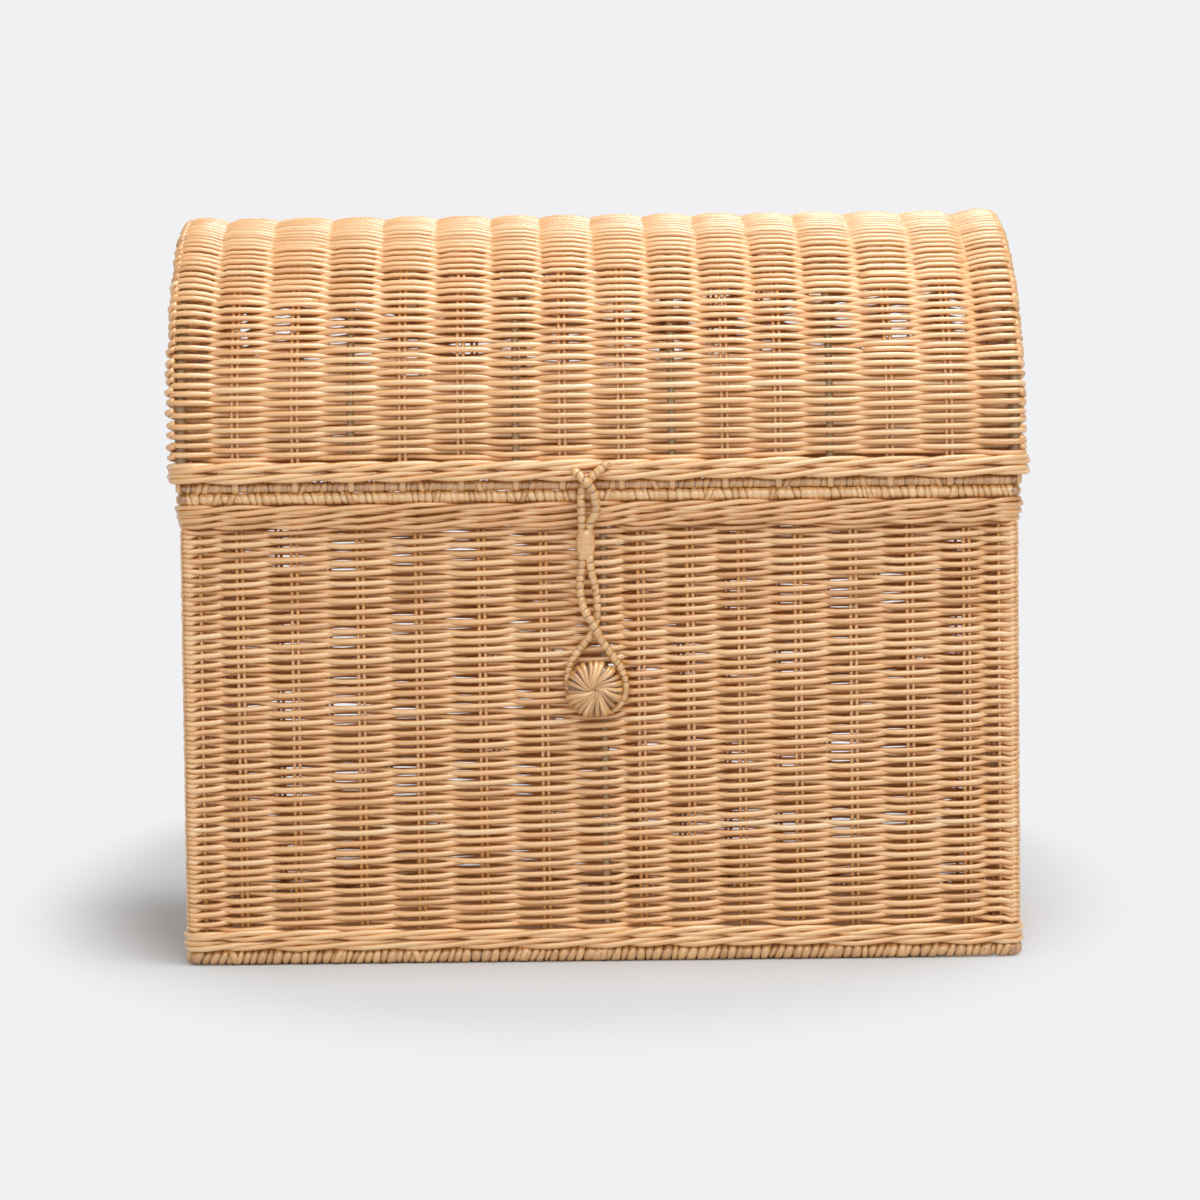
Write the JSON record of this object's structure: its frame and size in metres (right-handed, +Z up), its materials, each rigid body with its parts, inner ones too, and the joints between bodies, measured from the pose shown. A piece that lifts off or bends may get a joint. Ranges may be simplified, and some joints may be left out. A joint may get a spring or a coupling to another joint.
{
  "type": "woven trunk box",
  "caption": "Woven rattan trunk-shaped box with a barrel-domed hinged lid, wrapped rails and a looped cane closure that drops over a round wrapped button.",
  "frame": {"origin": "middle of the bounding box, on the surface that the base rail stands on", "axes": "+Z up; +X along the box's width, to the right seen from the front; the front with the button faces -Y"},
  "size_m": [0.4308, 0.2696, 0.3785],
  "materials": {
    "rattan_core": "natural split rattan core, satin, honey cream",
    "rattan_peel": "natural rattan peel, smooth satin, slightly duller",
    "cane_pole": "unpeeled cane poles, greenish brown, satin"
  },
  "bodies": {
    "chest": {"base_rail": "rattan_peel", "base_panel": "rattan_core", "base_wale": "rattan_core", "front_wall": "rattan_core", "rear_wall": "rattan_core", "left_wall": "rattan_core", "right_wall": "rattan_core", "corner_post_front_left": "cane_pole", "corner_post_front_right": "cane_pole", "corner_post_rear_left": "cane_pole", "corner_post_rear_right": "cane_pole", "front_pole": "cane_pole", "rear_pole": "cane_pole", "upper_wale": "rattan_core", "chest_rim_rail": "rattan_peel", "button_shank": "rattan_peel", "button_head": "rattan_peel"},
    "lid": {"lid_rail": "rattan_peel", "lid_wale": "rattan_core", "dome_panel": "rattan_core", "lid_end_left": "rattan_core", "lid_end_right": "rattan_core", "end_arch_left": "cane_pole", "end_arch_right": "cane_pole", "dome_pole_1": "cane_pole", "dome_pole_2": "cane_pole", "dome_pole_3": "cane_pole", "dome_pole_4": "cane_pole", "hinge_loop_left": "rattan_peel", "hinge_loop_right": "rattan_peel"},
    "closure_loop": {"closure_cord": "rattan_peel", "cord_keeper": "rattan_peel"}
  },
  "joints": [
    {"name": "lid_hinge", "type": "hinge", "parent": "chest", "child": "lid", "pos_m": [0, 0.12743, 0.2333], "axis": [-1, 0, 0], "range_deg": [0, 100]},
    {"name": "loop_swing", "type": "hinge", "parent": "lid", "child": "closure_loop", "pos_m": [0, -0.12742, 0.252], "axis": [-1, 0, 0], "range_deg": [0, 80]}
  ]
}
